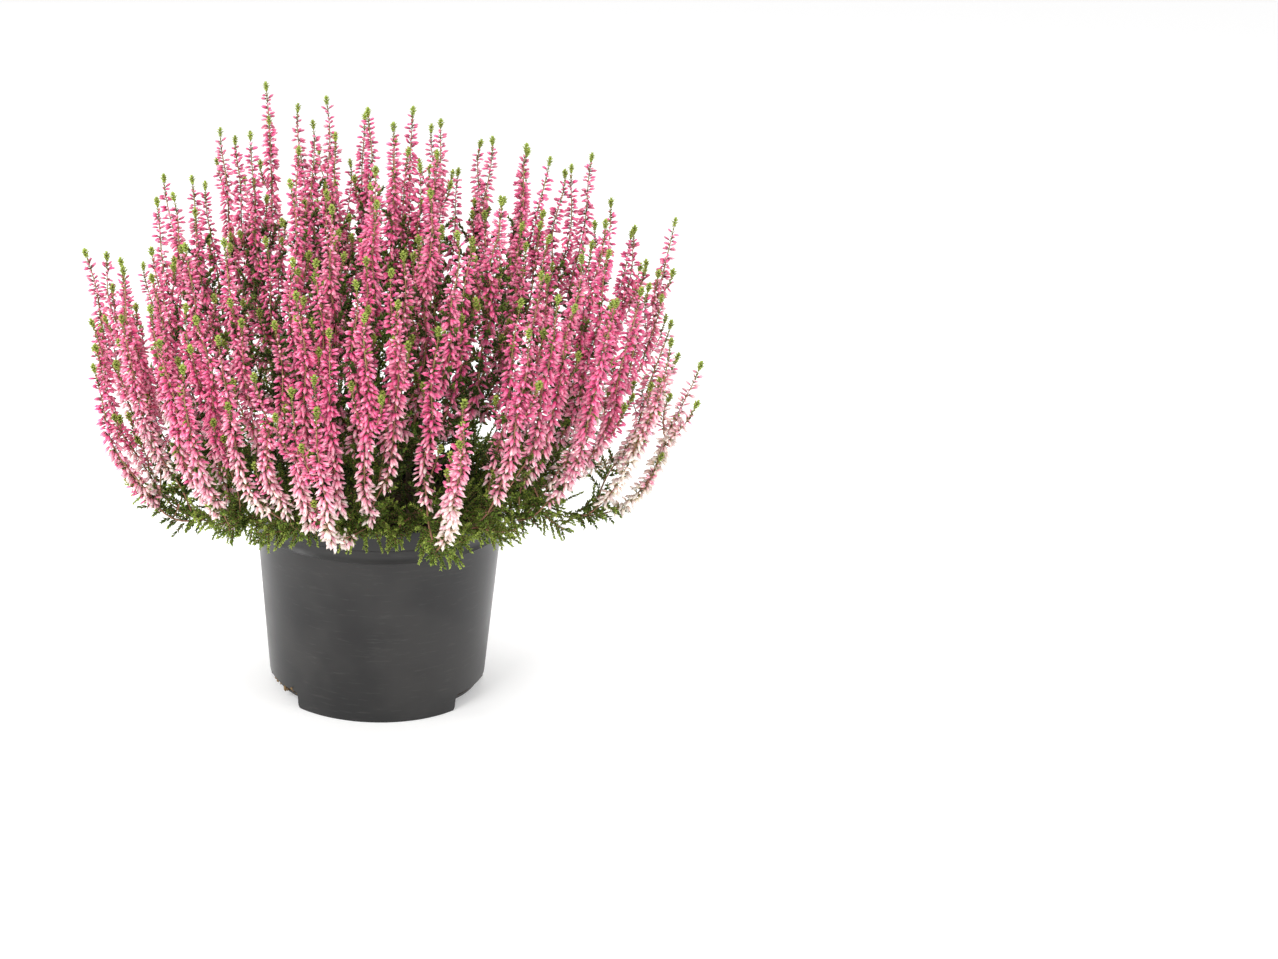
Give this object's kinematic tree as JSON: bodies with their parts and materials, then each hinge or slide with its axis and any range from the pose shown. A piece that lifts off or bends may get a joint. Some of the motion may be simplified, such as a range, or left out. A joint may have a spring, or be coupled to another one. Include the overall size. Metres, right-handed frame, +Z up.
{
  "type": "potted heather",
  "caption": "Pink bud heather with upright flower spikes over a green leafy skirt, in a charcoal plastic nursery pot.",
  "frame": {"origin": "middle of the pot's underside, on the surface that it stands on", "axes": "+Z up along the pot's axis, -Y towards the front of the plant, +X to the right seen from the front"},
  "size_m": [0.2834, 0.2804, 0.2903],
  "materials": {
    "pot_plastic": "charcoal injection-moulded plastic, satin, faintly scuffed",
    "compost": "dark moist potting compost, crumbly and matte",
    "heather_leaves": "small overlapping scale leaves on thin woody stems, soft matte green, lighter at the growing tips",
    "heather_buds": "closed pink buds, satin, paler to creamy white low on the plant, green at the spike tips"
  },
  "bodies": {
    "root": {"pot": "pot_plastic", "compost": "compost", "leafy_branch_01": "heather_leaves", "flowers_01": "heather_buds", "leafy_branch_02": "heather_leaves", "flowers_02": "heather_buds", "leafy_branch_03": "heather_leaves", "flowers_03": "heather_buds", "leafy_branch_04": "heather_leaves", "flowers_04": "heather_buds", "leafy_branch_05": "heather_leaves", "flowers_05": "heather_buds", "leafy_branch_06": "heather_leaves", "flowers_06": "heather_buds", "leafy_branch_07": "heather_leaves", "flowers_07": "heather_buds", "leafy_branch_08": "heather_leaves", "flowers_08": "heather_buds", "leafy_branch_09": "heather_leaves", "flowers_09": "heather_buds", "leafy_branch_10": "heather_leaves", "flowers_10": "heather_buds", "leafy_branch_11": "heather_leaves", "flowers_11": "heather_buds", "leafy_branch_12": "heather_leaves", "flowers_12": "heather_buds", "leafy_branch_13": "heather_leaves", "flowers_13": "heather_buds", "leafy_branch_14": "heather_leaves", "flowers_14": "heather_buds", "leafy_branch_15": "heather_leaves", "flowers_15": "heather_buds", "leafy_branch_16": "heather_leaves", "flowers_16": "heather_buds", "leafy_branch_17": "heather_leaves", "flowers_17": "heather_buds", "leafy_branch_18": "heather_leaves", "flowers_18": "heather_buds", "leafy_branch_19": "heather_leaves", "flowers_19": "heather_buds", "leafy_branch_20": "heather_leaves", "flowers_20": "heather_buds", "leafy_branch_21": "heather_leaves", "flowers_21": "heather_buds", "leafy_branch_22": "heather_leaves", "flowers_22": "heather_buds", "leafy_branch_23": "heather_leaves", "flowers_23": "heather_buds", "leafy_branch_24": "heather_leaves", "flowers_24": "heather_buds", "leafy_branch_25": "heather_leaves", "flowers_25": "heather_buds", "leafy_branch_26": "heather_leaves", "flowers_26": "heather_buds", "leafy_branch_27": "heather_leaves", "flowers_27": "heather_buds", "leafy_branch_28": "heather_leaves", "flowers_28": "heather_buds"}
  },
  "joints": []
}
